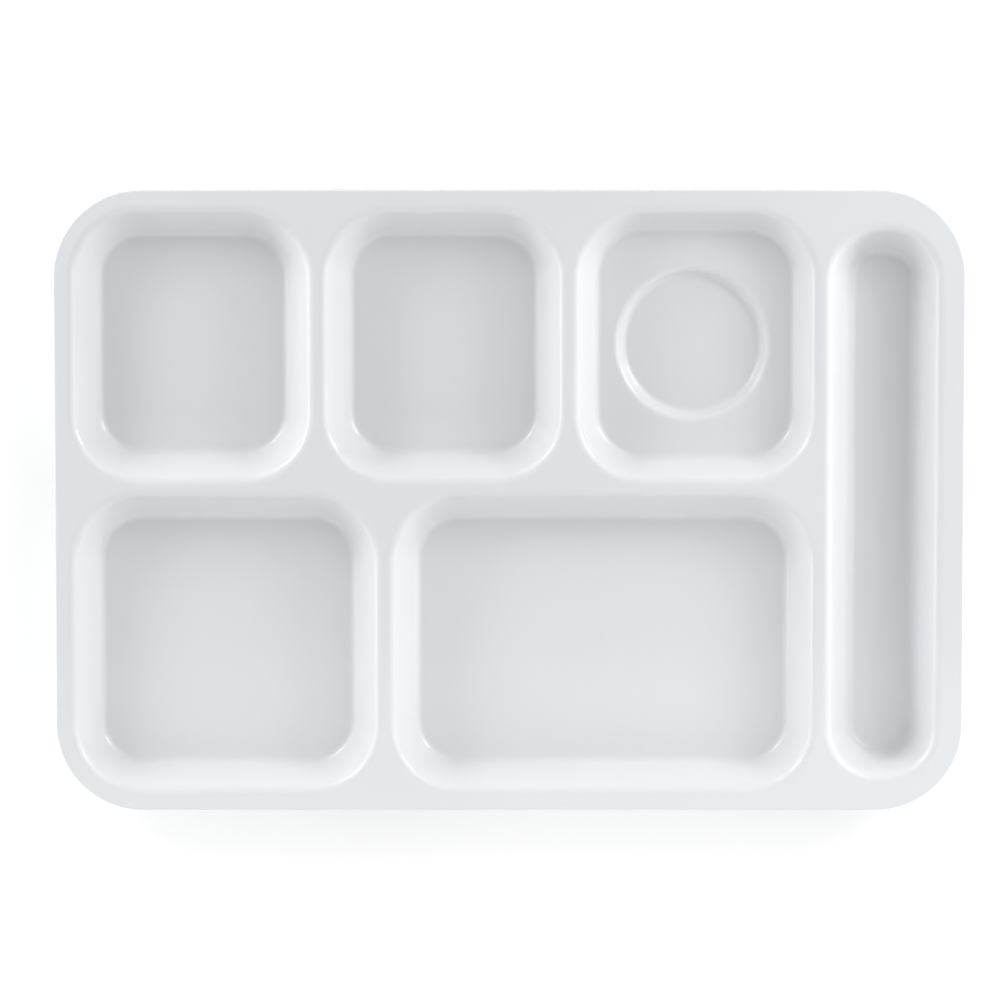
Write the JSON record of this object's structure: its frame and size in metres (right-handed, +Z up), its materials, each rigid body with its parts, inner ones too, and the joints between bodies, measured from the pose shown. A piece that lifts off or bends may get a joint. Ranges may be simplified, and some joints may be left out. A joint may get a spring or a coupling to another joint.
{
  "type": "compartment tray",
  "caption": "Rectangular cafeteria tray with rounded corners, sunk food compartments with sloping walls, a cup compartment with a round seat and a long cutlery slot down its right side.",
  "frame": {"origin": "on the table, under the middle of the tray's outline", "axes": "+X to the user's right along the long side, +Y away from the user to the row with the cup, +Z up"},
  "size_m": [0.3714, 0.2542, 0.0222],
  "materials": {
    "gloss_white": "glossy moulded white, slightly cool"
  },
  "bodies": {
    "root": {"deck": "gloss_white", "rim": "gloss_white", "rear_left_compartment": "gloss_white", "rear_middle_compartment": "gloss_white", "cup_compartment": "gloss_white", "cup_seat": "gloss_white", "cutlery_compartment": "gloss_white", "front_left_compartment": "gloss_white", "main_compartment": "gloss_white"}
  },
  "joints": []
}
